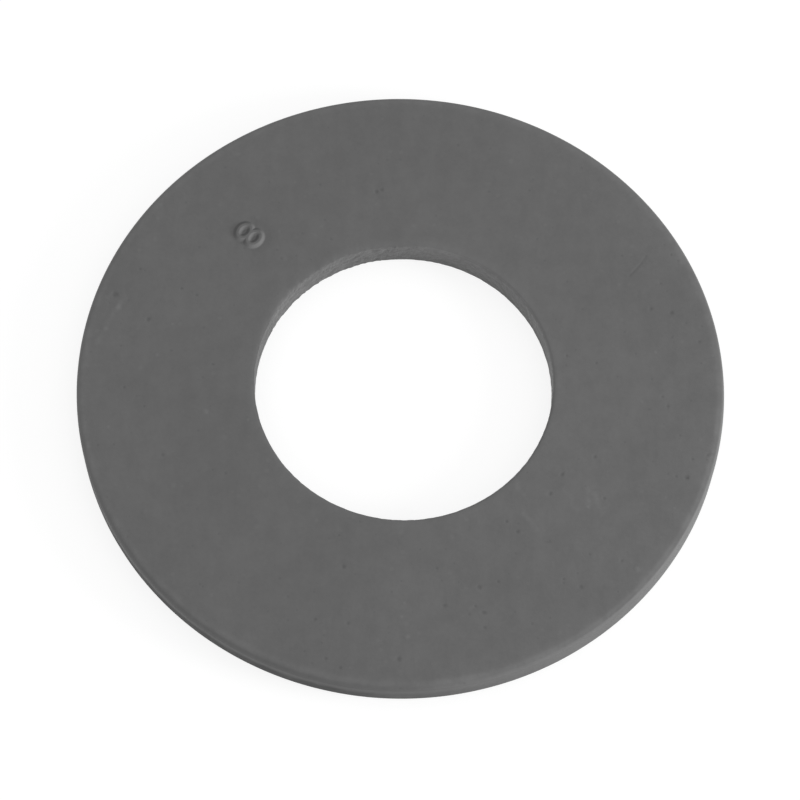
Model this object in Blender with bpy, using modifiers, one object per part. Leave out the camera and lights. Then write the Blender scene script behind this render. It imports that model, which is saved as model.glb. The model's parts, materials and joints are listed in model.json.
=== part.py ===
"""Flush valve seal: the flat rubber ring that closes the flush valve of a cistern.

The ring is moulded in one piece, so it is one solid: a turned section with rounded edges, a fine groove
where the mould parts, and a small raised digit on the upper face. It lies flat, with its axis on Z and
its lower face at z = 0. Sizes are in metres.
"""

import math

import bmesh
import bpy

# The ring's section
OUTER_DIAMETER = 0.063
BORE_DIAMETER = 0.029
THICKNESS = 0.003
OUTER_UPPER_EDGE_RADIUS = 0.00045
OUTER_LOWER_EDGE_RADIUS = 0.00025
BORE_EDGE_RADIUS = 0.0001

# The fine groove that the joint of the mould leaves round the outer wall, just below the upper edge's
# rounding, with a narrow flat land between the two
PARTING_LINE_WIDTH = 0.00016
PARTING_LINE_DEPTH = 0.00005
PARTING_LINE_CLEARANCE = 0.00003

# The raised digit, an 8 of two loops. It was stamped in the mould by hand, so it stands askew: its length
# is turned a little from the radius that it lies on
DIGIT_HEIGHT = 0.0031
DIGIT_WIDTH = 0.0023
DIGIT_STROKE = 0.0007
DIGIT_RELIEF = 0.00015
DIGIT_TOWARDS_BORE = 0.00122
DIGIT_BEARING = math.radians(135)
DIGIT_SKEW = math.radians(9)

# How finely the round shapes are divided
RING_STEPS = 96
EDGE_STEPS = 3
LOOP_STEPS = 24
STROKE_STEPS = 12

# A stroke's oval section is sunk by this share of its relief, so that it stands on steep sides
STROKE_SINK = 0.25

# The first and the last step of a full turn meet, and points this near to each other become one
MERGE_DISTANCE = 0.000001

RUBBER_GREY = (0.13, 0.13, 0.13, 1.0)
RUBBER_ROUGHNESS = 0.62


def clear_scene():
    for old in list(bpy.data.objects):
        bpy.data.objects.remove(old, do_unlink=True)


def new_collection(name):
    collection = bpy.data.collections.new(name)
    bpy.context.scene.collection.children.link(collection)
    return collection


def rubber_material():
    material = bpy.data.materials.new("grey_rubber")
    material.use_nodes = True
    shader = material.node_tree.nodes["Principled BSDF"]
    shader.inputs["Base Color"].default_value = RUBBER_GREY
    shader.inputs["Roughness"].default_value = RUBBER_ROUGHNESS
    shader.inputs["Metallic"].default_value = 0.0
    return material


def rounded_corner(x, z, radius, start):
    """Points of a quarter round about (x, z), clockwise from the start angle."""
    for step in range(EDGE_STEPS + 1):
        angle = start - math.pi / 2 * step / EDGE_STEPS
        yield x + radius * math.cos(angle), z + radius * math.sin(angle)


def parting_line():
    """The three points of the mould's parting groove, from above to below."""
    wall_x = OUTER_DIAMETER / 2
    top = THICKNESS - OUTER_UPPER_EDGE_RADIUS - PARTING_LINE_CLEARANCE
    return [
        (wall_x, top),
        (wall_x - PARTING_LINE_DEPTH, top - PARTING_LINE_WIDTH / 2),
        (wall_x, top - PARTING_LINE_WIDTH),
    ]


def ring_section():
    """The section's outline: over the upper face, down the outer wall, and back up the bore."""
    outer_x, bore_x = OUTER_DIAMETER / 2, BORE_DIAMETER / 2
    upper, lower, bore = OUTER_UPPER_EDGE_RADIUS, OUTER_LOWER_EDGE_RADIUS, BORE_EDGE_RADIUS
    quarter = math.pi / 2
    return [
        *rounded_corner(outer_x - upper, THICKNESS - upper, upper, quarter),
        *parting_line(),
        *rounded_corner(outer_x - lower, lower, lower, 0.0),
        *rounded_corner(bore_x + bore, bore, bore, -quarter),
        *rounded_corner(bore_x + bore, THICKNESS - bore, bore, -2 * quarter),
    ]


def turned_ring(collection, material):
    """The section turned once round the Z axis."""
    mesh = bpy.data.meshes.new("sealing_ring")
    section = bmesh.new()
    corners = [section.verts.new((x, 0.0, z)) for x, z in ring_section()]
    for here, following in zip(corners, corners[1:] + corners[:1]):
        section.edges.new((here, following))
    section.to_mesh(mesh)
    section.free()
    mesh.materials.append(material)
    ring = bpy.data.objects.new("sealing_ring", mesh)
    collection.objects.link(ring)
    turn = ring.modifiers.new("turned", "SCREW")
    turn.axis = "Z"
    turn.angle = 2 * math.pi
    turn.steps = RING_STEPS
    turn.render_steps = RING_STEPS
    turn.use_merge_vertices = True
    turn.merge_threshold = MERGE_DISTANCE
    turn.use_smooth_shade = True
    return ring


def digit_loop(name, offset, collection, material):
    """One oval loop of the digit, half sunk in the upper face, this far along from the digit's middle."""
    loop_height = (DIGIT_HEIGHT + DIGIT_STROKE) / 2
    wire = DIGIT_STROKE / 2
    bpy.ops.mesh.primitive_torus_add(
        major_segments=LOOP_STEPS,
        minor_segments=STROKE_STEPS,
        major_radius=loop_height / 2 - wire,
        minor_radius=wire,
    )
    loop = bpy.context.object
    loop.name = name
    loop.data.materials.append(material)
    loop.data.shade_smooth()
    sink = DIGIT_RELIEF * STROKE_SINK
    loop.scale = (1.0, DIGIT_WIDTH / loop_height, (DIGIT_RELIEF + sink) / wire)
    bpy.ops.object.transform_apply(location=False, rotation=False, scale=True)
    middle_of_face = (OUTER_DIAMETER + BORE_DIAMETER) / 4
    radius = middle_of_face - DIGIT_TOWARDS_BORE
    turn = DIGIT_BEARING + DIGIT_SKEW
    loop.location = (
        radius * math.cos(DIGIT_BEARING) + offset * math.cos(turn),
        radius * math.sin(DIGIT_BEARING) + offset * math.sin(turn),
        THICKNESS - sink,
    )
    loop.rotation_euler.z = turn
    for home in list(loop.users_collection):
        home.objects.unlink(loop)
    collection.objects.link(loop)
    loop.hide_render = True
    loop.display_type = "WIRE"
    return loop


def raise_digit(ring, collection, material):
    """Joins the two loops of the digit to the ring. They share the stroke at the digit's waist."""
    half_pitch = (DIGIT_HEIGHT - DIGIT_STROKE) / 4
    for name, offset in (("digit_inner_loop", -half_pitch), ("digit_outer_loop", half_pitch)):
        join = ring.modifiers.new(name, "BOOLEAN")
        join.operation = "UNION"
        join.solver = "EXACT"
        join.object = digit_loop(name, offset, collection, material)


def main():
    clear_scene()
    seal = new_collection("flush_valve_seal")
    helpers = new_collection("moulded_in_shapes")
    rubber = rubber_material()
    ring = turned_ring(seal, rubber)
    raise_digit(ring, helpers, rubber)


main()
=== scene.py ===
# %% [markdown]
# # A rubber flush valve seal
# The seal is one flat ring of moulded grey rubber. It presses on the outlet of a cistern and holds the
# water back. The ring looks simple, so its small marks have to carry the picture: rounded edges, the line
# where the mould parted, a raised digit, pits, scuffs and an uneven matte tone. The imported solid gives
# the true sizes. This lesson reads them from it, and builds a finer ring over it.

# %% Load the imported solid
import json
import math
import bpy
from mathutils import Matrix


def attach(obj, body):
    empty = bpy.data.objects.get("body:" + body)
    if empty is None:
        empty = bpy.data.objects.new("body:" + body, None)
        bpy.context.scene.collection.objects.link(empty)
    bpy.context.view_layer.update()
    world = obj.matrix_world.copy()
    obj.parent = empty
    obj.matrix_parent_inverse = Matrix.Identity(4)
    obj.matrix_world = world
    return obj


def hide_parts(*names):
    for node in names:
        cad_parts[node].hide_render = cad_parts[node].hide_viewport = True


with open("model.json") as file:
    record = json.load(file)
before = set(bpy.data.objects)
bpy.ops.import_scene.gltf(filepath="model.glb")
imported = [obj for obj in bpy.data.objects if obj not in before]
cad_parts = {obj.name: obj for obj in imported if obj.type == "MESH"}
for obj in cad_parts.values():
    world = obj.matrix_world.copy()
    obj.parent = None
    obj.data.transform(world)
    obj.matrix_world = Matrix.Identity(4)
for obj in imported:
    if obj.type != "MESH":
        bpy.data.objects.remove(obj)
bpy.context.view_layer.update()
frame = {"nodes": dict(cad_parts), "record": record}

from types import SimpleNamespace

import bmesh
import bpy
import numpy as np
from mathutils import Matrix, Vector

MM = 0.001

# %% [markdown]
# ## The sizes of the real ring
# A number that is typed twice will disagree with itself one day. The radii and the thickness are
# therefore measured on the solid, whose points lie on the real outline. The points that stand above the
# upper face can only belong to the digit. Their spread is widest along the digit, so the eigenvectors of
# its covariance give the direction that the digit leans in, and its height and width follow.

# %% Measure the ring and its digit
RING = "sealing_ring"
LEVEL_TOLERANCE = 0.01 * MM

solid_points = np.array([vertex.co for vertex in frame["nodes"][RING].data.vertices])
from_axis = np.hypot(solid_points[:, 0], solid_points[:, 1])
outer_radius = float(from_axis.max())
bore_radius = float(from_axis.min())
thickness = next(m["pos_m"][2] for m in frame["record"]["mounts"] if m["name"] == "upper_face")

digit_points = solid_points[solid_points[:, 2] > thickness + LEVEL_TOLERANCE]
digit_relief = float(digit_points[:, 2].max() - thickness)
digit_plan = digit_points[:, :2]
digit_centre = (digit_plan.max(axis=0) + digit_plan.min(axis=0)) / 2
_, directions = np.linalg.eigh(np.cov(digit_plan.T))
across_digit, along_digit = directions.T
digit_turn = math.atan2(along_digit[1], along_digit[0])
digit_height = float(np.ptp(digit_plan @ along_digit))
digit_width = float(np.ptp(digit_plan @ across_digit))
print("outside %.2f mm, bore %.2f mm, thickness %.2f mm" % (
    2 * outer_radius / MM, 2 * bore_radius / MM, thickness / MM))
print("digit %.2f by %.2f mm, raised %.2f mm, its length at %.0f degrees" % (
    digit_height / MM, digit_width / MM, digit_relief / MM, math.degrees(digit_turn)))

# %% [markdown]
# ## A shorthand for node trees
# Geometry Nodes and shaders are both made of nodes and links. Setting each socket on its own line hides
# the idea behind the plumbing, so one helper makes a node, sets its options, and either links or fills
# its inputs. Short words for sums follow. A Geometry Nodes tree is written as a function that gets the
# tree and its inputs and returns the new geometry. Another helper makes the tree round it: the values
# become its named inputs, and it ends in real mesh with its finish on it.

# %% Helpers for trees
KINDS = {float: "NodeSocketFloat", int: "NodeSocketInt", tuple: "NodeSocketVector",
         bpy.types.Object: "NodeSocketObject"}


def add(tree, kind, inputs=None, **settings):
    """A node with its settings. Each input is linked if it is given a socket, and filled otherwise."""
    made = tree.nodes.new(kind)
    for name, value in settings.items():
        setattr(made, name, value)
    for key, value in (inputs or {}).items():
        if isinstance(value, bpy.types.NodeSocket):
            tree.links.new(value, made.inputs[key])
        else:
            made.inputs[key].default_value = value
    return made


def maths(tree, operation, first, second=0.0, third=0.0):
    inputs = {0: first, 1: second}
    if operation == "MULTIPLY_ADD":
        inputs[2] = third
    return add(tree, "ShaderNodeMath", inputs, operation=operation).outputs[0]


def product(tree, *factors):
    result = factors[0]
    for factor in factors[1:]:
        result = maths(tree, "MULTIPLY", result, factor)
    return result


def total(tree, *terms):
    result = terms[0]
    for term in terms[1:]:
        result = maths(tree, "ADD", result, term)
    return result


def minus(tree, first, second):
    return maths(tree, "SUBTRACT", first, second)


def combine(tree, x=0.0, y=0.0, z=0.0):
    return add(tree, "ShaderNodeCombineXYZ", {0: x, 1: y, 2: z}).outputs[0]


def upwards(tree, distance):
    return combine(tree, z=distance)


def ease(tree, value, at_zero, at_one, curve="SMOOTHSTEP"):
    """0 where the value is at_zero, 1 where it is at_one, and a soft step between them."""
    inputs = {"Value": value, "From Min": at_zero, "From Max": at_one}
    return add(tree, "ShaderNodeMapRange", inputs, interpolation_type=curve).outputs[0]


def blend(tree, share, first, second):
    return add(tree, "ShaderNodeMix", {"Factor": share, "A": first, "B": second}).outputs[0]


def put_on(item, material, build, **values):
    """Makes a tree of what the function builds, and adds it to an object as a modifier.

    The values are the tree's named inputs. The modifier's inputs are set by their identifiers.
    """
    tree = bpy.data.node_groups.new(build.__name__, "GeometryNodeTree")
    face = tree.interface
    face.new_socket("Geometry", in_out="INPUT", socket_type="NodeSocketGeometry")
    for name, value in values.items():
        face.new_socket(name, in_out="INPUT", socket_type=KINDS[type(value)])
    face.new_socket("material", in_out="INPUT", socket_type="NodeSocketMaterial")
    face.new_socket("Geometry", in_out="OUTPUT", socket_type="NodeSocketGeometry")
    sockets = {socket.name: socket for socket in add(tree, "NodeGroupInput").outputs if socket.name}
    given = SimpleNamespace(**sockets)
    real = add(tree, "GeometryNodeRealizeInstances", {"Geometry": build(tree, given)})
    coated = add(tree, "GeometryNodeSetMaterial", {
        "Geometry": real.outputs[0], "Material": given.material})
    add(tree, "NodeGroupOutput", {"Geometry": coated.outputs[0]})

    modifier = item.modifiers.new(tree.name, "NODES")
    modifier.node_group = tree
    if material:
        values["material"] = material
    for socket in face.items_tree:
        if socket.in_out == "INPUT" and socket.name in values:
            modifier[socket.identifier] = values[socket.name]
    print("%s: a tree of %d nodes on %s" % (tree.name, len(tree.nodes), item.name))


def as_made(item):
    """The plain mesh that an object's modifiers make of it."""
    graph = bpy.context.evaluated_depsgraph_get()
    return bpy.data.meshes.new_from_object(item.evaluated_get(graph), depsgraph=graph)


def new_object(name, mesh):
    item = bpy.data.objects.new(name, mesh)
    bpy.context.scene.collection.objects.link(item)
    return item


# %% [markdown]
# ## The ring as it left the mould
# A ring is a section carried round a circle. Blender could lathe it with Spin or with the Screw modifier.
# A Geometry Nodes tree says the same thing in the maker's own terms: a rectangle, its corners rounded,
# swept round the axis. The upper edges are rounder than the lower ones. The long sides of the section
# also get extra points, the outer wall and the upper face more than the rest, because the marks that come
# later need points to move.

# %% Tree of the plain ring
TURN_STEPS = 480
EDGE_STEPS = 4
OUTER_UPPER_EDGE = 0.60 * MM
OUTER_LOWER_EDGE = 0.25 * MM
BORE_UPPER_EDGE = 0.30 * MM
BORE_LOWER_EDGE = 0.10 * MM
UPPER_FACE_SPACING = 0.30 * MM
LOWER_FACE_SPACING = 1.20 * MM
WALL_SPACING = 0.12 * MM
STEEP_SHARE = 0.5


def turned_ring(tree, given):
    outer, bore = given.outer_radius, given.bore_radius
    middle = product(tree, total(tree, outer, bore), 0.5)
    path = add(tree, "GeometryNodeCurvePrimitiveCircle", {
        "Resolution": given.turn_steps, "Radius": middle})
    sides = {"Width": minus(tree, outer, bore), "Height": given.thickness}
    section = add(tree, "GeometryNodeCurvePrimitiveQuadrilateral", sides)

    place = add(tree, "GeometryNodeInputPosition").outputs[0]
    across_up = add(tree, "ShaderNodeSeparateXYZ", {0: place}).outputs
    on_outside = maths(tree, "GREATER_THAN", across_up[0], 0.0)
    is_lower = maths(tree, "GREATER_THAN", across_up[1], 0.0)
    outside = blend(tree, is_lower, given.upper_edge, given.lower_edge)
    inside = blend(tree, is_lower, given.bore_upper_edge, given.bore_lower_edge)
    rounded = add(tree, "GeometryNodeFilletCurve", {
        "Curve": section.outputs[0], "Count": given.edge_steps,
        "Radius": blend(tree, on_outside, inside, outside)}, mode="POLY")

    following = add(tree, "GeometryNodeOffsetPointInCurve", {"Offset": 1}).outputs["Point Index"]
    there = add(tree, "GeometryNodeFieldAtIndex", {"Index": following, "Value": place},
                data_type="FLOAT_VECTOR").outputs[0]
    run = add(tree, "ShaderNodeVectorMath", {0: there, 1: place}, operation="SUBTRACT").outputs[0]
    length = add(tree, "ShaderNodeVectorMath", {0: run}, operation="LENGTH").outputs["Value"]
    rise = maths(tree, "ABSOLUTE", add(tree, "ShaderNodeSeparateXYZ", {0: run}).outputs[1])
    is_wall = maths(tree, "GREATER_THAN", rise, product(tree, length, STEEP_SHARE))
    spacing = blend(tree, is_lower, given.upper_spacing, given.lower_spacing)
    spacing = blend(tree, is_wall, spacing, given.wall_spacing)
    cuts = maths(tree, "FLOOR", maths(tree, "DIVIDE", length, spacing))
    divided = add(tree, "GeometryNodeSubdivideCurve", {"Curve": rounded.outputs[0], "Cuts": cuts})

    swept = add(tree, "GeometryNodeCurveToMesh", {
        "Curve": path.outputs[0], "Profile Curve": divided.outputs[0]})
    height = upwards(tree, product(tree, given.thickness, 0.5))
    stood = add(tree, "GeometryNodeTransform", {"Geometry": swept.outputs[0], "Translation": height})
    return stood.outputs[0]


blank = new_object("ring_blank", bpy.data.meshes.new("ring_blank"))
put_on(blank, None, turned_ring, outer_radius=outer_radius, bore_radius=bore_radius, thickness=thickness,
       upper_edge=OUTER_UPPER_EDGE, lower_edge=OUTER_LOWER_EDGE,
       bore_upper_edge=BORE_UPPER_EDGE, bore_lower_edge=BORE_LOWER_EDGE,
       upper_spacing=UPPER_FACE_SPACING, lower_spacing=LOWER_FACE_SPACING, wall_spacing=WALL_SPACING,
       turn_steps=TURN_STEPS, edge_steps=EDGE_STEPS)
ring_mesh = as_made(blank)
print("plain ring:", len(ring_mesh.polygons), "faces")

# %% [markdown]
# ## The places of the marks
# Rubber from a mould is never clean. Air leaves small pits, and the tool and the store shelf leave dashes
# and pale scuffs. The plainest ones are listed one by one, because the eye finds them first. They are
# measured on the upper face in millimetres from the ring's axis, and the pits and nibs are listed under
# their radius. The many small ones are scattered later.

# %% Marks that are listed one by one
PITS = {
    0.52: [(-28.3, 8.5)],
    0.40: [(-24.9, 5.9), (0.4, -28.5), (27.6, -9.5), (-2.9, 20.6)],
    0.34: [(-5.0, -19.5), (4.6, -23.1), (17.4, -20.9), (29.7, -7.1), (24.4, 8.3), (-2.4, 20.8),
           (7.8, -21.2), (8.3, -23.7), (26.4, 7.9), (18.8, -7.6), (15.6, -9.5), (14.5, -11.5),
           (11.4, -15.5)],
    0.26: [(-26.0, 11.3), (-21.8, 9.3), (-20.3, 8.6), (-18.4, 1.2), (-26.8, -1.5), (-22.7, -8.5),
           (9.6, -20.6), (7.5, -23.1), (8.4, -25.2), (-7.5, -24.8), (-4.4, -25.1), (-5.0, -29.5),
           (-6.4, -28.6), (3.8, -19.4), (10.3, -14.5), (25.4, 11.1), (26.5, 14.3), (29.1, 4.9),
           (15.9, 3.0), (19.0, 2.3), (25.4, -1.1), (25.9, -2.1), (28.2, -7.6), (26.6, -9.4),
           (19.7, -11.9), (15.8, -20.2), (21.3, -18.2)],
}
NIBS = {
    0.45: [(-18.8, -3.9), (1.2, -26.3), (22.8, -19.1), (-27.9, 7.1), (-29.0, 4.7)],
    0.25: [(-28.1, -5.7), (0.8, -23.0), (0.6, -24.3), (18.1, -12.8), (-22.5, 5.4), (-23.8, 2.0),
           (-14.9, -4.6), (26.4, -12.7), (24.8, 3.6)],
}
SCRATCHES = [
    [(24.0, 14.1), (23.5, 13.2), (23.0, 12.6), (22.3, 11.8)],
    [(27.0, -9.4), (27.7, -9.6)],
    [(13.5, -16.4), (14.5, -16.5)],
    [(-24.9, -2.4), (-25.6, -2.4)],
    [(-1.6, -25.5), (-1.1, -25.5)],
]
SCUFFS = [
    [(-27.2, 8.2), (-27.9, 7.2), (-28.6, 6.1), (-29.1, 4.8), (-29.6, 3.3)],
    [(15.9, -11.0), (16.4, -11.8), (16.7, -12.5), (17.0, -13.0)],
    [(18.1, -10.9), (18.2, -11.7), (18.1, -12.5)],
    [(11.1, -10.4), (11.4, -11.9), (12.0, -13.1)],
    [(12.0, -13.7), (12.7, -14.5), (13.4, -15.3)],
    [(18.8, -11.5), (19.3, -12.8), (19.6, -13.4)],
]
print(sum(map(len, PITS.values())), "pits,", sum(map(len, NIBS.values())), "nibs,",
      len(SCRATCHES), "scratches and", len(SCUFFS), "scuffs")

# %% [markdown]
# ## Where a point is
# Every tree that follows asks the same things of a point: where it lies, how far it is from the axis,
# which way is outwards, and whether it is near some bearing round the ring. These helpers answer them,
# always in millimetres. Others store a value on the points under a name, or move the points. Noise seldom
# leaves the middle of its range, so a pattern that is to use all of its own range reads one of the three
# spans.

# %% Helpers for places in a tree
SOFT_SPAN = (0.30, 0.70)
WIDE_SPAN = (0.25, 0.75)
CRISP_SPAN = (0.35, 0.65)
SHIFT_STEPS = (1.0, 0.7, 0.3)
FULL_FROM = 0.6


def vectors(tree, operation, first, second=(0, 0, 0), factor=1.0):
    inputs = {0: first, 3: factor} if operation == "SCALE" else {0: first, 1: second}
    made = add(tree, "ShaderNodeVectorMath", inputs, operation=operation)
    return made.outputs["Value" if operation in ("LENGTH", "DISTANCE", "DOT_PRODUCT") else "Vector"]


def millimetres(tree):
    """A point's place, its x, y and z apart, its distance from the axis, and the way outwards."""
    place = vectors(tree, "SCALE", add(tree, "GeometryNodeInputPosition").outputs[0], factor=1 / MM)
    x, y, z = add(tree, "ShaderNodeSeparateXYZ", {0: place}).outputs
    flat = combine(tree, x, y)
    return SimpleNamespace(place=place, x=x, y=y, z=z, radius=vectors(tree, "LENGTH", flat),
                           outward=vectors(tree, "NORMALIZE", flat))


def noise(tree, where, per_mm, detail=2.0, roughness=0.5, shift=0.0):
    """Soft noise of the given number of waves per millimetre. The shift gives an unlike pattern."""
    shifted = vectors(tree, "ADD", where, [shift * step for step in SHIFT_STEPS])
    return add(tree, "ShaderNodeTexNoise", {
        "Vector": shifted, "Scale": per_mm, "Detail": detail, "Roughness": roughness}).outputs[0]


def named(tree, name):
    return add(tree, "GeometryNodeInputNamedAttribute", {"Name": name}).outputs[0]


def stored(tree, geometry, name, value):
    inputs = {"Geometry": geometry, "Name": name, "Value": value}
    made = add(tree, "GeometryNodeStoreNamedAttribute", inputs, data_type="FLOAT", domain="POINT")
    return made.outputs[0]


def moved(tree, geometry, offset):
    """The geometry with its points moved by an offset in millimetres."""
    metres = vectors(tree, "SCALE", offset, factor=MM)
    return add(tree, "GeometryNodeSetPosition", {"Geometry": geometry, "Offset": metres}).outputs[0]


def towards(tree, bearing):
    """The level direction that points to a bearing round the axis."""
    return combine(tree, maths(tree, "COSINE", bearing), maths(tree, "SINE", bearing))


def near(tree, outward, bearing, spread):
    """1 round a bearing, and 0 where the spread to each side of it ends."""
    facing = vectors(tree, "DOT_PRODUCT", outward, towards(tree, bearing))
    share = ease(tree, facing, maths(tree, "COSINE", spread), 1.0, curve="LINEAR")
    return ease(tree, share, 0.0, FULL_FROM)


def at_least(tree, value, least):
    """Lifts a value that goes from 0 to 1, so that it starts at the least."""
    return maths(tree, "MULTIPLY_ADD", value, 1 - least, least)


# %% [markdown]
# ## The small pits
# Dozens of tiny pits follow a rule and not a drawing: they lie anywhere on the upper face, but never
# closer than a fixed gap, and the front half of the ring, towards -Y, has more of them. Distribute Points
# on Faces with Poisson disks does exactly that, and a fixed seed gives the same ring at each run.

# %% Tree that scatters the small pits
SMALL_PIT_GAP = 1.5 * MM
SMALL_PIT_DENSITY = 2.0e5
SMALL_PIT_RADIUS = (0.10, 0.24)
SMALL_PIT_SEED = 7
FEWEST_AND_MOST_AT_Y = (26.0, -18.0)
FEWEST_SHARE = 0.35
LEVEL_NORMAL = 0.99


def scattered_pits(tree, given):
    at = millimetres(tree)
    normal = add(tree, "GeometryNodeInputNormal").outputs[0]
    upwards_share = add(tree, "ShaderNodeSeparateXYZ", {0: normal}).outputs[2]
    faces_up = maths(tree, "GREATER_THAN", upwards_share, LEVEL_NORMAL)
    clusters = ease(tree, noise(tree, at.place, per_mm=0.18, shift=11), *CRISP_SPAN)
    share = at_least(tree, ease(tree, at.y, *FEWEST_AND_MOST_AT_Y), FEWEST_SHARE)
    points = add(tree, "GeometryNodeDistributePointsOnFaces", {
        "Mesh": given.Geometry, "Selection": faces_up, "Distance Min": given.gap,
        "Density Max": given.density, "Density Factor": product(tree, share, clusters),
        "Seed": given.seed}, distribute_method="POISSON").outputs[0]
    chance = add(tree, "FunctionNodeRandomValue", {2: 0.0, 3: 1.0, 8: given.seed}).outputs[1]
    mostly_small = maths(tree, "POWER", chance, 2.0)
    pit_radius = blend(tree, mostly_small, given.smallest, given.largest)
    sized = stored(tree, points, "pit_radius", pit_radius)
    return add(tree, "GeometryNodePointsToVertices", {0: sized}).outputs[0]


scatter = new_object("scattered_pits", ring_mesh.copy())
put_on(scatter, None, scattered_pits, gap=SMALL_PIT_GAP, density=SMALL_PIT_DENSITY,
       smallest=SMALL_PIT_RADIUS[0], largest=SMALL_PIT_RADIUS[1], seed=SMALL_PIT_SEED)
small_pits = as_made(scatter)
small_places = np.array([vertex.co for vertex in small_pits.vertices])[:, :2] / MM
small_radii = np.array([item.value for item in small_pits.attributes["pit_radius"].data])
print(len(small_places), "small pits, radius", small_radii.min().round(3), "to",
      small_radii.max().round(3), "mm")

# %% [markdown]
# ## One list of marks
# The listed and the scattered marks become one cloud of loose points. Each point carries its radius and
# its height: below zero for a pit, above zero for a nib. A small pit that would fall on the digit, too
# near an edge or on a larger mark is dropped.

# %% Join the marks
PIT_DEPTH_SHARE = 0.14
SMALL_PIT_DEPTH_SHARE = 0.09
NIB_HEIGHT_SHARE = 0.07
EDGE_MARGIN = 0.7
MARK_GAP = 0.2
DIGIT_CLEARING = 0.7

marks = [(x, y, size, -PIT_DEPTH_SHARE * size) for size, places in PITS.items() for x, y in places]
marks += [(x, y, size, NIB_HEIGHT_SHARE * size) for size, places in NIBS.items() for x, y in places]
for place, size in zip(small_places, small_radii):
    from_centre = float(np.hypot(*place))
    inside = bore_radius / MM + EDGE_MARGIN < from_centre < outer_radius / MM - EDGE_MARGIN
    clear = all(math.dist(place, mark[:2]) > size + mark[2] + MARK_GAP for mark in marks)
    if inside and clear and math.dist(place, digit_centre / MM) > DIGIT_CLEARING * digit_height / MM:
        marks.append((place[0], place[1], size, -SMALL_PIT_DEPTH_SHARE * size))

mark_mesh = bpy.data.meshes.new("marks")
mark_mesh.from_pydata([(mark[0] * MM, mark[1] * MM, thickness) for mark in marks], [], [])
for name, column in (("mark_radius", 2), ("mark_height", 3)):
    layer = mark_mesh.attributes.new(name, "FLOAT", "POINT")
    layer.data.foreach_set("value", [mark[column] for mark in marks])
mark_points = new_object("marks", mark_mesh)


def line_object(name, lines):
    """Loose edges that follow the given lines on the upper face."""
    points, edges = [], []
    for line in lines:
        edges += [(len(points) + i, len(points) + i + 1) for i in range(len(line) - 1)]
        points += [(x * MM, y * MM, thickness) for x, y in line]
    mesh = bpy.data.meshes.new(name)
    mesh.from_pydata(points, edges, [])
    return new_object(name, mesh)


scratch_lines = line_object("scratch_lines", SCRATCHES)
scuff_lines = line_object("scuff_lines", SCUFFS)
print(len(marks), "marks in all")

# %% [markdown]
# ## Finer faces where a mark will be
# A mark that is smaller than a face can't be seen in the mesh. Finer faces all over would cost millions,
# so only the faces that lie near a mark are divided, in two or three rounds. Each round halves them.
# Everything else keeps the size that the plain tree gave it.

# %% Divide the faces near the marks
DIGIT_ROUNDS = 3
MARK_ROUNDS = 2
DIGIT_REACH = 0.78
MARK_REACH = 1.25
MARK_FRINGE = 0.08
SCRATCH_REACH = 0.35
NEARLY_LEVEL_NORMAL = 0.9


def divide_near(mesh, test):
    """Divides the upper faces whose middle the test picks. The test gets their middles in millimetres."""
    work = bmesh.new()
    work.from_mesh(mesh)
    upper = [face for face in work.faces if face.normal.z > NEARLY_LEVEL_NORMAL]
    middles = np.array([face.calc_center_median() for face in upper])[:, :2] / MM
    edges = {edge for face, picked in zip(upper, test(middles)) if picked for edge in face.edges}
    bmesh.ops.subdivide_edges(work, edges=list(edges), cuts=1, use_grid_fill=True)
    work.to_mesh(mesh)
    work.free()


def near_digit(middles):
    mean_size = 0.5 * (digit_height + digit_width) / MM
    return np.hypot(*(middles - digit_centre / MM).T) < DIGIT_REACH * mean_size


def near_marks(middles):
    found = np.zeros(len(middles), bool)
    for x, y, size, _ in marks:
        found |= np.hypot(middles[:, 0] - x, middles[:, 1] - y) < MARK_REACH * size + MARK_FRINGE
    for line in SCRATCHES:
        for start, end in zip(line, line[1:]):
            start, run = np.array(start), np.subtract(end, start)
            along_line = np.clip((middles - start) @ run / (run @ run), 0, 1)
            found |= np.hypot(*(middles - start - along_line[:, None] * run).T) < SCRATCH_REACH
    return found


for count in range(DIGIT_ROUNDS):
    divide_near(ring_mesh, near_digit)
for count in range(MARK_ROUNDS):
    divide_near(ring_mesh, near_marks)
triangles = sum(len(face.vertices) - 2 for face in ring_mesh.polygons)
print(triangles, "triangles after the finer faces")

# %% [markdown]
# ## Matte grey rubber
# Moulded rubber is nearly black in its body, and looks grey because its skin is rough and a little dusty.
# One flat grey would look like paint. The tone is therefore built up from what happens to a real seal:
# soft clouds from uneven mixing, a finer mottle, pale dust, dark specks, dirt that lies in the pits, and
# edges that have rubbed lighter, where the pale outer upper edge is also a painted highlight. Other tones
# are painted light and shade: the whole outer wall is painted darker and its foot on the front left
# darker still, one stretch of the bore lighter and another darker, the rim at the front right lighter,
# and the digit's sides lighter and darker. The same patterns drive the roughness and the bump, so that
# shape and tone agree. Where wear, dirt, marks and painted light and shade lie is stored on the points by
# the trees that follow, under the names that the rubber reads here.

# %% Helpers for the material
RUBBER_GREY = 0.125
RUBBER_ROUGHNESS = 0.62
CLOUD_TONES = (0.965, 1.035)
MOTTLE_TONES = (0.95, 1.05)
GRAIN_TONES = (0.965, 1.035)
STREAK_TONES = (0.98, 1.02)
# Darkest and lightest factors of the painted light and shade on the digit's sides.
DIGIT_LIGHT_AND_SHADE_TONES = (0.62, 1.38)
CRUMB_TONES = (-0.07, 0.07)
SPECK_TONE = 0.88
DUST_TONE = 1.07
WORN_AND_HIGHLIGHT_TONE = 1.11
OUTER_BAND_LEAST = 0.6
PIT_TONE = 0.88
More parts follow.
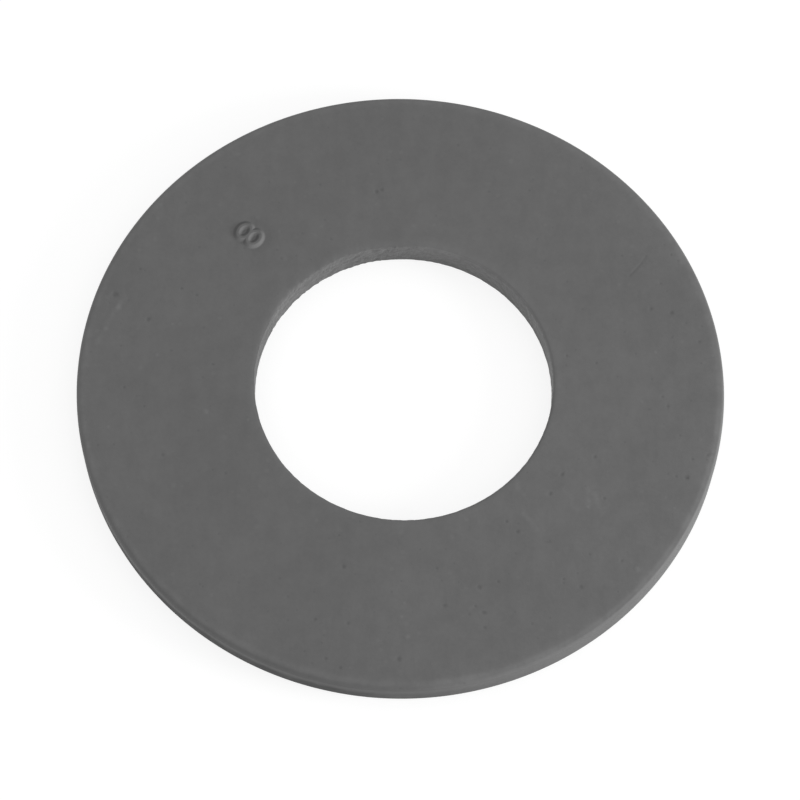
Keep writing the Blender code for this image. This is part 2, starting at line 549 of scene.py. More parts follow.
# Several of these factors paint light and shade into the colour: the whole outer wall is painted darker
# as shade, the foot of the outer wall on the front left gets a painted shadow, one stretch of the bore is
# painted lighter and another darker, and the outer rim at the front right gets a painted highlight.
PAINTED_TONES = {
    "rubbed_rim": 1.16, "bore_wear": 1.03, "outer_wall": 0.82, "bore_wall": 1.02, "rubbed": 1.34,
    "stain": 0.76, "grime": 0.62, "nib": 1.14, "scratch": 0.93, "scuff": 1.13}
MOTTLE_ROUGHNESS = 0.05
GRAIN_ROUGHNESS = 0.03
PAINTED_ROUGHNESS = {"outer_wear": -0.06, "grime": 0.14, "pit": 0.12}
MOTTLE_BUMP = 0.030
GRAIN_BUMP = 0.012
STREAK_BUMP = 0.010
CRUMB_BUMP = 0.16
SPECK_BUMP = -0.012
STREAK_BEARING = 55
STREAK_STRETCH = 0.25
SPOTS_PER_MM = 0.6


def tone(tree, value, low, high, darkest, lightest):
    """A factor for the colour: darkest where the value is low, lightest where it is high."""
    inputs = {"Value": value, "From Min": low, "From Max": high, "To Min": darkest, "To Max": lightest}
    return add(tree, "ShaderNodeMapRange", inputs, interpolation_type="SMOOTHSTEP").outputs[0]


def tinted(tree, amount, factor):
    """The factor where the amount is 1, and no change where it is 0."""
    return tone(tree, amount, 0.0, 1.0, 1.0, factor)


def painted(tree, name):
    return add(tree, "ShaderNodeAttribute", attribute_name=name).outputs["Fac"]


# %% The rubber
def rubber_material():
    material = bpy.data.materials.new("moulded_rubber")
    material.use_nodes = True
    tree = material.node_tree
    tree.nodes.clear()
    place = add(tree, "ShaderNodeTexCoord").outputs["Object"]
    place = add(tree, "ShaderNodeMapping", {"Vector": place, "Scale": (1 / MM,) * 3}).outputs[0]
    drawn = add(tree, "ShaderNodeMapping", {
        "Vector": place, "Rotation": (0, 0, math.radians(STREAK_BEARING)),
        "Scale": (1.0, STREAK_STRETCH, 1.0)}).outputs[0]

    def spots(offset, per_mm, shift, largest, solid_part=0.0):
        """Scattered spots of uneven size, solid in their middle part and fading over the rest."""
        shifted = vectors(tree, "ADD", place, offset)
        cells = add(tree, "ShaderNodeTexVoronoi", {
            "Vector": shifted, "Scale": SPOTS_PER_MM, "Randomness": 1.0}).outputs["Distance"]
        size = product(tree, noise(tree, place, per_mm, shift=shift), largest)
        return ease(tree, cells, size, product(tree, size, solid_part))

    clouds = noise(tree, place, per_mm=0.08, detail=3)
    mottle = noise(tree, place, per_mm=0.55, detail=4, roughness=0.62, shift=31)
    grain = noise(tree, place, per_mm=2.4, detail=3, roughness=0.6, shift=53)
    streaks = noise(tree, drawn, per_mm=0.9, detail=3, roughness=0.55, shift=17)
    crumbs = noise(tree, place, per_mm=2.0, detail=3, roughness=0.6, shift=103)
    speck = spots((0.0, 0.0, 0.0), per_mm=0.45, shift=71, largest=0.26)
    dust = spots((5.3, 2.1, 0.4), per_mm=0.3, shift=91, largest=0.34, solid_part=0.3)

    # The paler band along the outer upper edge is partly wear and partly a painted highlight.
    uneven_band = tone(tree, mottle, *CRISP_SPAN, OUTER_BAND_LEAST, 1.0)
    worn_and_lit_edge = product(tree, painted(tree, "outer_wear"), uneven_band)
    cut_rubber = painted(tree, "bore_wall")
    shade = product(
        tree,
        tone(tree, clouds, *SOFT_SPAN, *CLOUD_TONES),
        tone(tree, mottle, *SOFT_SPAN, *MOTTLE_TONES),
        tone(tree, grain, *WIDE_SPAN, *GRAIN_TONES),
        tone(tree, streaks, *SOFT_SPAN, *STREAK_TONES),
        tinted(tree, speck, SPECK_TONE),
        tinted(tree, dust, DUST_TONE),
        tinted(tree, worn_and_lit_edge, WORN_AND_HIGHLIGHT_TONE),
        total(tree, 1.0, product(tree, cut_rubber, tone(tree, crumbs, *CRISP_SPAN, *CRUMB_TONES))),
        tone(tree, painted(tree, "pit"), 0.1, 1.0, 1.0, PIT_TONE),
        # Painted light and shade on the digit: lighter on the sides that face the front right, darker on
        # the others.
        tone(tree, painted(tree, "digit_side"), -0.5, 0.5, *DIGIT_LIGHT_AND_SHADE_TONES),
        *[tinted(tree, painted(tree, name), factor) for name, factor in PAINTED_TONES.items()])
    grey = product(tree, shade, RUBBER_GREY)
    colour = add(tree, "ShaderNodeCombineColor", {0: grey, 1: grey, 2: grey}).outputs[0]

    rough = total(
        tree,
        tone(tree, mottle, *SOFT_SPAN, RUBBER_ROUGHNESS - MOTTLE_ROUGHNESS,
             RUBBER_ROUGHNESS + MOTTLE_ROUGHNESS),
        tone(tree, grain, *SOFT_SPAN, -GRAIN_ROUGHNESS, GRAIN_ROUGHNESS),
        *[product(tree, painted(tree, name), change) for name, change in PAINTED_ROUGHNESS.items()])

    relief = total(
        tree,
        product(tree, mottle, MOTTLE_BUMP),
        product(tree, grain, GRAIN_BUMP),
        product(tree, streaks, STREAK_BUMP),
        product(tree, cut_rubber, crumbs, CRUMB_BUMP),
        product(tree, speck, SPECK_BUMP))
    bumped = add(tree, "ShaderNodeBump", {"Strength": 1.0, "Distance": MM, "Height": relief})

    shader = add(tree, "ShaderNodeBsdfPrincipled", {
        "Base Color": colour, "Roughness": rough, "Diffuse Roughness": 0.6, "Normal": bumped.outputs[0],
        "IOR": 1.5, "Specular IOR Level": 0.4})
    add(tree, "ShaderNodeOutputMaterial", {"Surface": shader.outputs[0]})
    return material


rubber = rubber_material()
print(len(rubber.node_tree.nodes), "nodes in the rubber")

# %% [markdown]
# ## Name the parts of the surface
# The trees that follow each need to know where they are: on the upper face, the lower face, the outer
# wall or the bore. A first tree stores these as named attributes while the ring is still exact. It also
# stores how near a point is to an edge of the section, which is where rubber wears and where the outer
# edge is also painted as a highlight, and the stretch of the outer rim at the front right that gets a
# stronger painted highlight.

# %% Tree that names the surfaces
OUTER_WEAR_AND_HIGHLIGHT = (0.08, 0.50)
OUTER_BAND_INSET = 0.60
RIM_HIGHLIGHT_REACH = (0.35, 0.95)
RIM_BEARING = -42
RIM_SPREAD = 50
BORE_WEAR = (0.15, 1.60)
FACE_BAND = 0.12
OUTER_WALL_BAND = 0.06
BORE_WALL_BAND = 0.15


def face_names(tree, given):
    at = millimetres(tree)
    outer, bore, top = given.outer, given.bore, given.thickness
    from_wall = minus(tree, outer, OUTER_WALL_BAND)
    from_bore = total(tree, bore, BORE_WALL_BAND)
    sheet = given.Geometry
    sheet = stored(tree, sheet, "upper", ease(tree, at.z, minus(tree, top, FACE_BAND), top))
    sheet = stored(tree, sheet, "lower", ease(tree, at.z, FACE_BAND, 0.0))
    sheet = stored(tree, sheet, "outer_wall", ease(tree, at.radius, from_wall, outer))
    sheet = stored(tree, sheet, "bore_wall", ease(tree, at.radius, from_bore, bore))
    band_radius = minus(tree, outer, given.outer_wear_inset)
    below_top = minus(tree, at.z, top)

    def near_edge(edge, end, full):
        """1 near an upper edge that goes round at this radius, 0 from the end on."""
        from_edge = minus(tree, at.radius, edge)
        corner = combine(tree, from_edge, below_top)
        return ease(tree, vectors(tree, "LENGTH", corner), end, full)

    # A paler band along the outer upper edge, partly wear and partly a painted highlight.
    outer_wear = near_edge(band_radius, given.outer_wear_end, given.outer_wear_full)
    sheet = stored(tree, sheet, "outer_wear", outer_wear)
    bore_wear = near_edge(bore, given.bore_wear_end, given.bore_wear_full)
    sheet = stored(tree, sheet, "bore_wear", bore_wear)
    # Painted highlight on the outer rim round the front right.
    rubbed_rim = product(tree, near_edge(outer, given.rim_end, given.rim_full),
                         near(tree, at.outward, given.rim_bearing, given.rim_spread))
    sheet = stored(tree, sheet, "rubbed_rim", rubbed_rim)
    return sheet


seal = new_object("flush_valve_seal", ring_mesh)
put_on(seal, rubber, face_names, outer=outer_radius / MM, bore=bore_radius / MM, thickness=thickness / MM,
       outer_wear_inset=OUTER_BAND_INSET, outer_wear_full=OUTER_WEAR_AND_HIGHLIGHT[0], outer_wear_end=OUTER_WEAR_AND_HIGHLIGHT[1],
       bore_wear_full=BORE_WEAR[0], bore_wear_end=BORE_WEAR[1], rim_full=RIM_HIGHLIGHT_REACH[0],
       rim_end=RIM_HIGHLIGHT_REACH[1], rim_bearing=math.radians(RIM_BEARING), rim_spread=math.radians(RIM_SPREAD))

# %% [markdown]
# ## Soft rubber is never flat
# The faces of a real seal roll gently, and the light from the side shows it as soft light and dark
# patches. The waves here are about a hundredth of a millimetre deep, and go into the rubber, never out of
# it, so that the ring keeps its size. Towards the outer edge the upper face also falls off by a hair,
# because the rubber shrank as it cooled, and twice as far round the front right, where the rim also gets
# a painted highlight. That turns the rim there to the light.

# %% Tree of waves and the fall towards the rim
WAVE_DEPTH = 0.014
RIM_FALL = 0.055
RIM_FALL_WIDTH = 2.6
LONG_WAVE_SHARE = 0.6


def uneven_faces(tree, given):
    at = millimetres(tree)
    long_waves = noise(tree, at.place, per_mm=0.10, detail=1, shift=3)
    short_waves = noise(tree, at.place, per_mm=0.42, detail=2, roughness=0.55, shift=23)
    wave = total(tree, product(tree, long_waves, LONG_WAVE_SHARE),
                 product(tree, short_waves, 1 - LONG_WAVE_SHARE))
    wave = product(tree, ease(tree, wave, *SOFT_SPAN), given.depth)

    inset = maths(tree, "DIVIDE", minus(tree, given.outer, at.radius), given.width)
    to_rim = minus(tree, 1.0, maths(tree, "MINIMUM", inset, 1.0))
    leant = total(tree, near(tree, at.outward, given.bearing, given.spread), 1.0)
    fall = product(tree, to_rim, to_rim, given.fall, leant)

    upper, lower = named(tree, "upper"), named(tree, "lower")
    sink = total(tree, product(tree, upper, product(tree, total(tree, wave, fall), -1.0)),
                 product(tree, lower, wave))
    wall = total(tree, product(tree, named(tree, "outer_wall"), product(tree, wave, -1.0)),
                 product(tree, named(tree, "bore_wall"), wave))
    offset = vectors(tree, "ADD", upwards(tree, sink), vectors(tree, "SCALE", at.outward, factor=wall))
    return moved(tree, given.Geometry, offset)


put_on(seal, rubber, uneven_faces, outer=outer_radius / MM, depth=WAVE_DEPTH, fall=RIM_FALL,
       width=RIM_FALL_WIDTH, bearing=math.radians(RIM_BEARING), spread=math.radians(RIM_SPREAD))

# %% [markdown]
# ## Sink the pits and raise the nibs
# Each point of the face asks for its nearest mark with Sample Nearest, and reads that mark's radius and
# height. The bowl of a pit is a smooth curve of the distance. A little noise in that distance keeps the
# bowls from being perfect circles.

# %% Tree of pits and nibs
BOWL_RAGGEDNESS = (0.75, 1.30)


def pits_and_nibs(tree, given):
    at = millimetres(tree)
    metres = add(tree, "GeometryNodeInputPosition").outputs[0]
    cloud = add(tree, "GeometryNodeObjectInfo", {"Object": given.marks}).outputs["Geometry"]
    nearest = add(tree, "GeometryNodeSampleNearest", {
        "Geometry": cloud, "Sample Position": metres}).outputs[0]

    def of_mark(value, kind):
        inputs = {"Geometry": cloud, "Value": value, "Index": nearest}
        return add(tree, "GeometryNodeSampleIndex", inputs, data_type=kind).outputs[0]

    centre = of_mark(metres, "FLOAT_VECTOR")
    size = of_mark(named(tree, "mark_radius"), "FLOAT")
    height = of_mark(named(tree, "mark_height"), "FLOAT")
    away = maths(tree, "DIVIDE", vectors(tree, "DISTANCE", metres, centre), MM)
    ragged = tone(tree, noise(tree, at.place, per_mm=2.2, shift=61), *WIDE_SPAN, *BOWL_RAGGEDNESS)
    share = maths(tree, "DIVIDE", product(tree, away, ragged), size)
    dish = minus(tree, 1.0, maths(tree, "MINIMUM", product(tree, share, share), 1.0))
    bowl = product(tree, dish, dish, named(tree, "upper"))
    is_pit = maths(tree, "LESS_THAN", height, 0.0)
    sheet = stored(tree, given.Geometry, "pit", product(tree, bowl, is_pit))
    sheet = stored(tree, sheet, "nib", product(tree, bowl, minus(tree, 1.0, is_pit)))
    return moved(tree, sheet, upwards(tree, product(tree, bowl, height)))


put_on(seal, rubber, pits_and_nibs, marks=mark_points)

# %% [markdown]
# ## Scratches and scuffs
# A scratch is a line that went in, and a scuff is a pale rub that hardly did. Both follow loose edges, so
# one function serves both: Geometry Proximity gives the distance to the line, and the inputs say how wide
# and how deep the line is.

# %% Tree of a mark that follows lines
SCRATCH_WIDTH = 0.42
SCRATCH_DEPTH = 0.035
SCUFF_WIDTH = 1.10
SCUFF_HEIGHT = 0.012
LINE_RAGGEDNESS = (0.75, 1.4)
BREAK_SPAN = (0.42, 0.58)
BREAK_STRENGTH = 0.45


def line_mark(tree, given, name):
    at = millimetres(tree)
    path = add(tree, "GeometryNodeObjectInfo", {"Object": given.lines}).outputs["Geometry"]
    to_line = add(tree, "GeometryNodeProximity", {"Geometry": path}, target_element="EDGES")
    ragged = tone(tree, noise(tree, at.place, per_mm=1.6, shift=83), *WIDE_SPAN, *LINE_RAGGEDNESS)
    away = product(tree, to_line.outputs["Distance"], 1 / MM, ragged)
    half = product(tree, given.width, 0.5)
    breaks = noise(tree, at.place, per_mm=0.7, detail=1, shift=47)
    broken = tone(tree, breaks, *BREAK_SPAN, BREAK_STRENGTH, 1.0)
    strength = product(tree, ease(tree, away, half, 0.0), broken, named(tree, "upper"))
    sheet = stored(tree, given.Geometry, name, strength)
    lifted = upwards(tree, product(tree, strength, given.height))
    return moved(tree, sheet, lifted)


def scratch(tree, given):
    return line_mark(tree, given, "scratch")


def scuff(tree, given):
    return line_mark(tree, given, "scuff")


put_on(seal, rubber, scratch, lines=scratch_lines, width=SCRATCH_WIDTH, height=-SCRATCH_DEPTH)
put_on(seal, rubber, scuff, lines=scuff_lines, width=SCUFF_WIDTH, height=SCUFF_HEIGHT)

# %% [markdown]
# ## The raised digit
# Moulds with many cavities number them, so that a bad seal can be traced to its cavity. The digit is cut
# in the steel, and stands up from the rubber with soft sloping sides. Its strokes are two ovals that
# touch. The tree makes those ovals, measures the distance to them, and turns that distance into a rounded
# ridge. The punch that cut the digit also pushed the steel up beside it, so the rubber lies a little
# lower round the strokes. Light and shade are also painted on the digit's sides: those that face the
# front right are painted lighter and the others darker, so each point also stores how far it faces that
# way.

# %% Tree of the digit
DIGIT_STROKE = 0.56
DIGIT_FLANK = 0.38
DIGIT_INSET = 0.03
DIGIT_MOAT_DEPTH = 0.07
DIGIT_MOAT_REACH = 0.90
DIGIT_PAINTED_LIGHT_BEARING = -52
DIGIT_LIGHT_AND_SHADE_REACH = 0.30
DIGIT_LOOP_STEPS = 48


def raised_digit(tree, given):
    stroke = given.stroke
    half_loop = product(tree, minus(tree, given.height, stroke), 0.25)
    half_width = product(tree, minus(tree, given.width, stroke), 0.5)
    circle = add(tree, "GeometryNodeCurvePrimitiveCircle", {
        "Resolution": DIGIT_LOOP_STEPS, "Radius": 1.0}).outputs[0]
    loops = add(tree, "GeometryNodeJoinGeometry")
    for side in (1.0, -1.0):
        along = product(tree, half_loop, side)
        oval = add(tree, "GeometryNodeTransform", {
            "Geometry": circle, "Translation": combine(tree, along),
            "Scale": combine(tree, half_loop, half_width, 1.0)})
        tree.links.new(oval.outputs[0], loops.inputs[0])
    turn = combine(tree, z=given.turn)
    placed = add(tree, "GeometryNodeTransform", {
        "Geometry": loops.outputs[0], "Translation": given.centre, "Rotation": turn})
    wire = add(tree, "GeometryNodeCurveToMesh", {"Curve": placed.outputs[0]}).outputs[0]

    at = millimetres(tree)
    flat = combine(tree, at.x, at.y, given.level)
    away = add(tree, "GeometryNodeProximity", {"Geometry": wire, "Sample Position": flat},
               target_element="EDGES").outputs["Distance"]
    half = product(tree, stroke, 0.5)
    slope = product(tree, given.flank, 0.5)
    foot = total(tree, half, slope)
    ridge = ease(tree, away, foot, minus(tree, half, slope))
    ridge = product(tree, ridge, named(tree, "upper"))
    moat = product(tree, ease(tree, away, total(tree, foot, given.moat_reach), foot),
                   given.moat_depth, named(tree, "upper"))
    full_height = total(tree, given.relief, given.moat_depth)
    height = minus(tree, product(tree, ridge, full_height), moat)
    sheet = moved(tree, given.Geometry, upwards(tree, height))
    # Painted light and shade: how far each side of the digit faces the front right. The rubber paints the
    # sides that face it lighter and the others darker.
    normal = add(tree, "GeometryNodeInputNormal").outputs[0]
    facing = vectors(tree, "DOT_PRODUCT", normal, towards(tree, given.rubbed_bearing))
    round_digit = ease(tree, away, total(tree, foot, DIGIT_LIGHT_AND_SHADE_REACH), foot)
    sheet = stored(tree, sheet, "digit_side", product(tree, facing, round_digit, named(tree, "upper")))
    return sheet


put_on(seal, rubber, raised_digit, centre=(*(digit_centre / MM), thickness / MM), turn=digit_turn,
       height=digit_height / MM - 2 * DIGIT_INSET, width=digit_width / MM - 2 * DIGIT_INSET,
       stroke=DIGIT_STROKE, flank=DIGIT_FLANK, relief=digit_relief / MM, moat_depth=DIGIT_MOAT_DEPTH,
       moat_reach=DIGIT_MOAT_REACH, level=thickness / MM,
       rubbed_bearing=math.radians(DIGIT_PAINTED_LIGHT_BEARING))

# %% [markdown]
# ## Painted shade and light on the walls
# These tones later become colour, and all of them are painted light and shade: a painted shadow round the
# foot of the outer wall on the front left, away from the lamp, painted light on the stretch of the bore
# that faces the front left, over its edge and a little way onto the upper face, with a painted glint on
# its rounded edge, and painted shade on the stretch of the bore that faces the lamp. They are stored
# while the walls are still smooth, as how strong each one is at a point. A painted picture would need the
# ring to be unwrapped, and the points lie close enough to carry these soft shapes by themselves.

# %% Tree of painted shadow, light and shade on the walls
FOOT_SHADOW_BEARING = -135
FOOT_SHADOW_SPREAD = 48
FOOT_SHADOW_FRINGE = 1.6
FOOT_SHADOW_HEIGHT = 2.20
FOOT_SHADOW_INSET = (0.45, 0.25)
FOOT_SHADOW_SPAN = (0.3, 0.6)
FOOT_SHADOW_THINNEST = 0.7
BORE_LIGHT_BEARING = 42
BORE_LIGHT_SPREAD = 55
BORE_GLINT_CORNER = (0.91, 0.985)
BORE_LIGHT_FACE_SHARE = 0.25
BORE_LIGHT_WALL_SHARE = 0.62
BORE_LIGHT_FULL_HEIGHT = 1.2
BORE_SHADE_BEARING = 178
BORE_SHADE_SPREAD = 30


def painted_shade_and_light(tree, given):
    at = millimetres(tree)
    on_bore = named(tree, "bore_wall")
    near_bore = named(tree, "bore_wear")
    half_height = product(tree, given.grime_height, 0.5)
    from_outside = minus(tree, given.outer, at.radius)
    # Painted shadow: darker, in patches, round the foot of the outer wall on the front left, away from
    # the lamp.
    low = product(tree, ease(tree, at.z, given.grime_height, half_height),
                  ease(tree, from_outside, *FOOT_SHADOW_INSET))
    patches = noise(tree, at.place, per_mm=0.9, shift=79)
    patchy = tone(tree, patches, *FOOT_SHADOW_SPAN, FOOT_SHADOW_THINNEST, 1.0)
    wide_spread = product(tree, given.grime_spread, FOOT_SHADOW_FRINGE)
    wide = near(tree, at.outward, given.grime_bearing, wide_spread)
    close = near(tree, at.outward, given.grime_bearing, given.grime_spread)
    spread = total(tree, product(tree, wide, 0.5), product(tree, close, 0.5))
    grime = product(tree, low, patchy, spread)

    # Painted light on the stretch of the bore that faces the front left, fading out towards its foot,
    # strongest on its rounded upper edge as a painted glint, and reaching a little onto the upper face.
    off_face = minus(tree, 1.0, named(tree, "upper"))
    corner = product(tree, ease(tree, near_bore, *BORE_GLINT_CORNER), off_face)
    over_edge = maths(tree, "MAXIMUM", product(tree, near_bore, BORE_LIGHT_FACE_SHARE), corner)
    over_edge = maths(tree, "MAXIMUM", product(tree, on_bore, BORE_LIGHT_WALL_SHARE), over_edge)
    painted_lit_side = near(tree, at.outward, given.rubbed_bearing, given.rubbed_spread)
    rubbed = product(tree, over_edge, painted_lit_side, ease(tree, at.z, 0.0, BORE_LIGHT_FULL_HEIGHT))
    # Painted shade on the stretch of the bore wall that faces the lamp.
    painted_shade_side = near(tree, at.outward, given.stain_bearing, given.stain_spread)
    sheet = stored(tree, given.Geometry, "grime", grime)
    sheet = stored(tree, sheet, "rubbed", rubbed)
    sheet = stored(tree, sheet, "stain", product(tree, on_bore, painted_shade_side))
    return sheet


put_on(seal, rubber, painted_shade_and_light, outer=outer_radius / MM, grime_bearing=math.radians(FOOT_SHADOW_BEARING),
       grime_spread=math.radians(FOOT_SHADOW_SPREAD), grime_height=FOOT_SHADOW_HEIGHT,
       rubbed_bearing=math.radians(BORE_LIGHT_BEARING), rubbed_spread=math.radians(BORE_LIGHT_SPREAD),
       stain_bearing=math.radians(BORE_SHADE_BEARING), stain_spread=math.radians(BORE_SHADE_SPREAD))

# %% [markdown]
# ## The walls
# The two halves of the mould met a little below the upper face, and left a fine line round the outer
# wall. The bore was punched out later. The punch drew fine upright lines down the wall, and tore the edge
# a little on one side. Each of these is a push in or out: a narrow dip for the parting line, and noise
# for the rest, which is stretched upright for the punch's lines.

# %% Tree of the walls
PARTING_DROP = 0.45
PARTING_WIDTH = 0.26
PARTING_DEPTH = 0.020
PARTING_LEAST = 0.55
PUNCH_LINE_DEPTH = 0.028
PUNCH_LINE_STRETCH = 0.12
PUNCH_LINE_SHARE = 0.5
PUNCH_LINE_MORE_AT_TEAR = 1.2
CRUMB_DEPTH = 0.10
CRUMB_SPAN = (0.38, 0.68)
CRUMB_LEAST = 0.25
TORN_EDGE_BEARING = 125
TORN_EDGE_SPREAD = 34
TORN_EDGE_DEPTH = 0.10
TORN_EDGE_REACH = (0.75, 0.10)
TORN_EDGE_DROP = 0.9
CHIP_SPAN = (0.35, 0.75)
CHIP_LEAST = 0.15


def walls(tree, given):
    at = millimetres(tree)
    below = minus(tree, given.thickness, at.z)
    off_line = maths(tree, "ABSOLUTE", minus(tree, below, given.drop))
    groove = ease(tree, off_line, product(tree, given.width, 0.5), 0.0)
    uneven = tone(tree, noise(tree, at.place, per_mm=0.5, shift=29), *SOFT_SPAN, PARTING_LEAST, 1.0)
    groove = product(tree, groove, uneven, given.depth, named(tree, "outer_wall"))

    on_bore = named(tree, "bore_wall")
    near_tear = near(tree, at.outward, given.torn_bearing, given.torn_spread)
    upright = vectors(tree, "MULTIPLY", at.place, (1.0, 1.0, PUNCH_LINE_STRETCH))
    lines = noise(tree, upright, per_mm=2.0, roughness=0.6, shift=37)
    more = maths(tree, "MULTIPLY_ADD", near_tear, PUNCH_LINE_MORE_AT_TEAR, PUNCH_LINE_SHARE)
    lines = product(tree, lines, on_bore, given.punch_lines, more)
    crumbs = ease(tree, noise(tree, at.place, per_mm=1.7, roughness=0.55, shift=67), *CRUMB_SPAN)
    crumbs = product(tree, crumbs, on_bore, given.crumbs, at_least(tree, near_tear, CRUMB_LEAST))

    chips = noise(tree, at.place, per_mm=1.1, detail=3, roughness=0.65, shift=43)
    to_bore = minus(tree, at.radius, given.bore)
    from_edge = combine(tree, to_bore, below)
    edge = ease(tree, vectors(tree, "LENGTH", from_edge), *TORN_EDGE_REACH)
    tear = product(tree, edge, ease(tree, chips, *CHIP_SPAN), at_least(tree, near_tear, CHIP_LEAST),
                   given.torn)

    outwards = total(tree, product(tree, groove, -1.0), total(tree, lines, crumbs), tear)
    offset = vectors(tree, "ADD", vectors(tree, "SCALE", at.outward, factor=outwards),
                     upwards(tree, product(tree, tear, -TORN_EDGE_DROP)))
    return moved(tree, given.Geometry, offset)


put_on(seal, rubber, walls, thickness=thickness / MM, bore=bore_radius / MM, drop=PARTING_DROP,
       width=PARTING_WIDTH, depth=PARTING_DEPTH, punch_lines=PUNCH_LINE_DEPTH, crumbs=CRUMB_DEPTH,
       torn=TORN_EDGE_DEPTH, torn_bearing=math.radians(TORN_EDGE_BEARING),
       torn_spread=math.radians(TORN_EDGE_SPREAD))

# %% [markdown]
# ## The bore is off-centre
# The punch was not quite centred on the ring. A tree of its own moves the bore 0.29 mm sideways, and lets
# the move fade out over the next 5 mm, so that the outer edge stays where it is. It comes last, because
# the other trees measure from the axis.

# %% Tree that shifts the bore
BORE_SHIFT = (0.29, 0.0, 0.0)
BORE_SHIFT_REACH = 5.0


def bore_shift(tree, given):
    radius = millimetres(tree).radius
    share = ease(tree, radius, total(tree, given.bore, given.reach), given.bore)
    offset = vectors(tree, "SCALE", given.shift, factor=share)
    return moved(tree, given.Geometry, offset)


put_on(seal, rubber, bore_shift, bore=bore_radius / MM, reach=BORE_SHIFT_REACH, shift=BORE_SHIFT)

# %% [markdown]
# ## One plain mesh
# The stack of trees is now turned into plain geometry, and the helpers are removed. Smooth shading with
# weighted normals keeps the flat faces flat right up to the rounded edges.

# %% Bake the trees into the seal
final_mesh = as_made(seal)
seal.modifiers.clear()
seal.data = final_mesh
final_mesh.name = "flush_valve_seal"
final_mesh.shade_smooth()
for helper in (blank, scatter, mark_points, scratch_lines, scuff_lines):
    bpy.data.objects.remove(helper)
seal.modifiers.new("weighted_normals", "WEIGHTED_NORMAL").keep_sharp = False

check = bmesh.new()
check.from_mesh(final_mesh)
triangles = sum(len(face.verts) - 2 for face in check.faces)
volume = check.calc_volume(signed=True) / MM ** 3
open_edges = sum(not edge.is_manifold for edge in check.edges)
check.free()
print("seal: %d triangles, volume %.0f mm3, open edges %d" % (triangles, volume, open_edges))
places = np.array([vertex.co for vertex in final_mesh.vertices]) / MM
print("box from", places.min(axis=0).round(3), "to", places.max(axis=0).round(3))

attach(seal, "root")
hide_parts(RING)

# %% [markdown]
# ## A camera like the photographer's
# The seal lies flat and is seen from in front and well above. The numbers come from a pinhole camera that
# was fitted to the ring's two outlines: its distance and aim in radii of the ring, its tilt and its
# slight roll.

# %% Camera
FRAME_PIXELS = 800
FOCAL_PIXELS = 2889.2
SENSOR_WIDTH = 36
CAMERA_DISTANCE = 9.0
CAMERA_TILT = 0.4144
CAMERA_ROLL = 0.0241
AIM = (0.0013, -0.0241)

aim_x = -AIM[0] * math.cos(CAMERA_ROLL) - AIM[1] * math.sin(CAMERA_ROLL)
aim_y = AIM[0] * math.sin(CAMERA_ROLL) - AIM[1] * math.cos(CAMERA_ROLL)
tilt = Matrix.Rotation(CAMERA_TILT, 4, "X")
camera_data = bpy.data.cameras.new("camera")
camera_data.sensor_width = SENSOR_WIDTH
camera_data.lens = FOCAL_PIXELS / FRAME_PIXELS * SENSOR_WIDTH
camera = bpy.data.objects.new("camera", camera_data)
bpy.context.scene.collection.objects.link(camera)
where = Vector((aim_x,
                -aim_y * math.cos(CAMERA_TILT) - CAMERA_DISTANCE * math.sin(CAMERA_TILT),
                -aim_y * math.sin(CAMERA_TILT) + CAMERA_DISTANCE * math.cos(CAMERA_TILT)))
roll = Matrix.Rotation(CAMERA_ROLL, 4, "Z")
camera.matrix_world = Matrix.Translation(where * outer_radius) @ tilt @ roll
camera_data.clip_start, camera_data.clip_end = 0.01, 10
bpy.context.scene.camera = camera
print("camera at", [round(v / MM, 1) for v in where * outer_radius], "mm, lens %.1f mm" %
      camera_data.lens)

# %% [markdown]
# ## Floor and light
# The floor and the world are pale, and look white to the camera. To every other ray they are a plain soft
# studio. One soft lamp stands low at the right front, so that the edges and the digit catch its light. It
# is near enough that the right side of the ring is a little brighter than the left.

# %% Floor, world and lamp
WORLD_LEVEL = 0.78
FLOOR_REACH = 2.0
FLOOR_ALBEDO = 0.75
FLOOR_TO_CAMERA = 0.25
FLOOR_GLOW = 0.80
KEY_BEARING = -14
KEY_ELEVATION = 15
KEY_DISTANCE = 0.25
KEY_SIZE = 0.10
KEY_POWER = 0.485


def seen_directly(tree):
    """1 for rays from the camera, and for those that it sees in a gloss or through glass."""
    ray = add(tree, "ShaderNodeLightPath").outputs
    glossy = maths(tree, "MAXIMUM", ray["Is Glossy Ray"], ray["Is Transmission Ray"])
    return maths(tree, "MAXIMUM", ray["Is Camera Ray"], glossy)


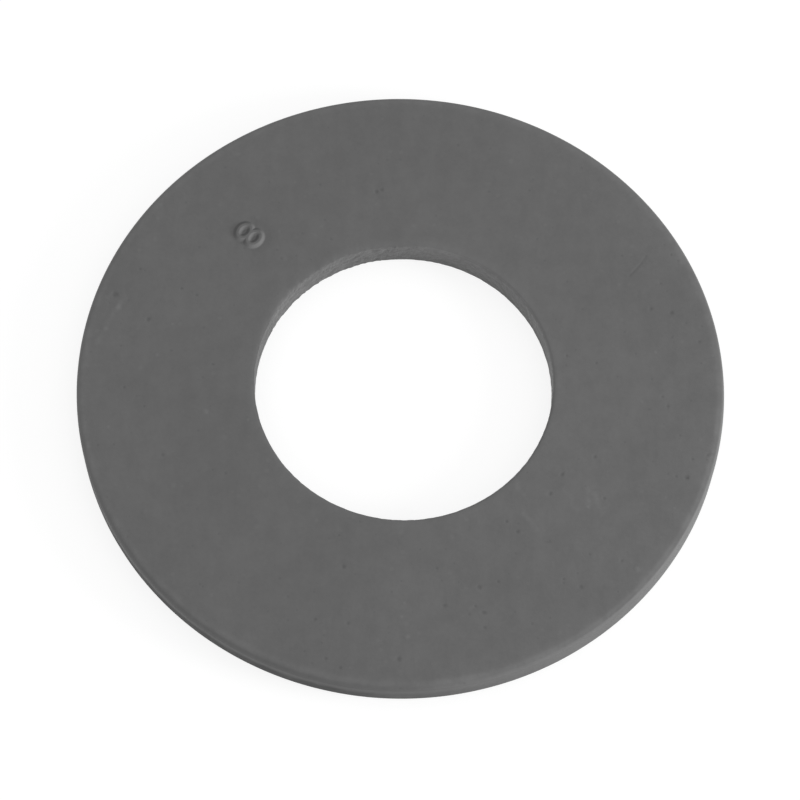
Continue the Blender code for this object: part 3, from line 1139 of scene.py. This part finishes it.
def floor_material():
    material = bpy.data.materials.new("pale_floor")
    material.use_nodes = True
    tree = material.node_tree
    tree.nodes.clear()
    plain = add(tree, "ShaderNodeBsdfDiffuse", {"Color": (FLOOR_ALBEDO,) * 3 + (1,)})
    shadowed = add(tree, "ShaderNodeBsdfDiffuse", {"Color": (FLOOR_TO_CAMERA,) * 3 + (1,)})
    glow = add(tree, "ShaderNodeEmission", {"Color": (1, 1, 1, 1), "Strength": FLOOR_GLOW})
    white = add(tree, "ShaderNodeAddShader", {0: shadowed.outputs[0], 1: glow.outputs[0]})
    mixed = add(tree, "ShaderNodeMixShader", {
        0: seen_directly(tree), 1: plain.outputs[0], 2: white.outputs[0]})
    add(tree, "ShaderNodeOutputMaterial", {"Surface": mixed.outputs[0]})
    return material


floor_mesh = bpy.data.meshes.new("floor")
corners = [(x * FLOOR_REACH, y * FLOOR_REACH, 0) for x, y in ((-1, -1), (1, -1), (1, 1), (-1, 1))]
floor_mesh.from_pydata(corners, [], [(0, 1, 2, 3)])
floor_mesh.materials.append(floor_material())
floor = new_object("floor", floor_mesh)

world = bpy.data.worlds.new("studio")
bpy.context.scene.world = world
world.use_nodes = True
sky = world.node_tree
sky.nodes.clear()
lighting = add(sky, "ShaderNodeBackground", {"Color": (1, 1, 1, 1), "Strength": WORLD_LEVEL})
backdrop = add(sky, "ShaderNodeBackground", {"Color": (1, 1, 1, 1), "Strength": 1.0})
mixed = add(sky, "ShaderNodeMixShader", {
    0: seen_directly(sky), 1: lighting.outputs[0], 2: backdrop.outputs[0]})
add(sky, "ShaderNodeOutputWorld", {"Surface": mixed.outputs[0]})

lamp = bpy.data.lights.new("key", "AREA")
lamp.shape, lamp.size = "DISK", KEY_SIZE
lamp.energy = KEY_POWER
key = bpy.data.objects.new("key", lamp)
bpy.context.scene.collection.objects.link(key)
bearing, elevation = math.radians(KEY_BEARING), math.radians(KEY_ELEVATION)
direction = Vector((math.cos(bearing) * math.cos(elevation), math.sin(bearing) * math.cos(elevation),
                    math.sin(elevation)))
key.location = direction * KEY_DISTANCE
key.rotation_euler = direction.to_track_quat("Z", "Y").to_euler()
key.visible_camera = False
print("lamp at", [round(v / MM) for v in key.location], "mm, %.3f W" % KEY_POWER)
bpy.context.scene.view_settings.view_transform = "Standard"
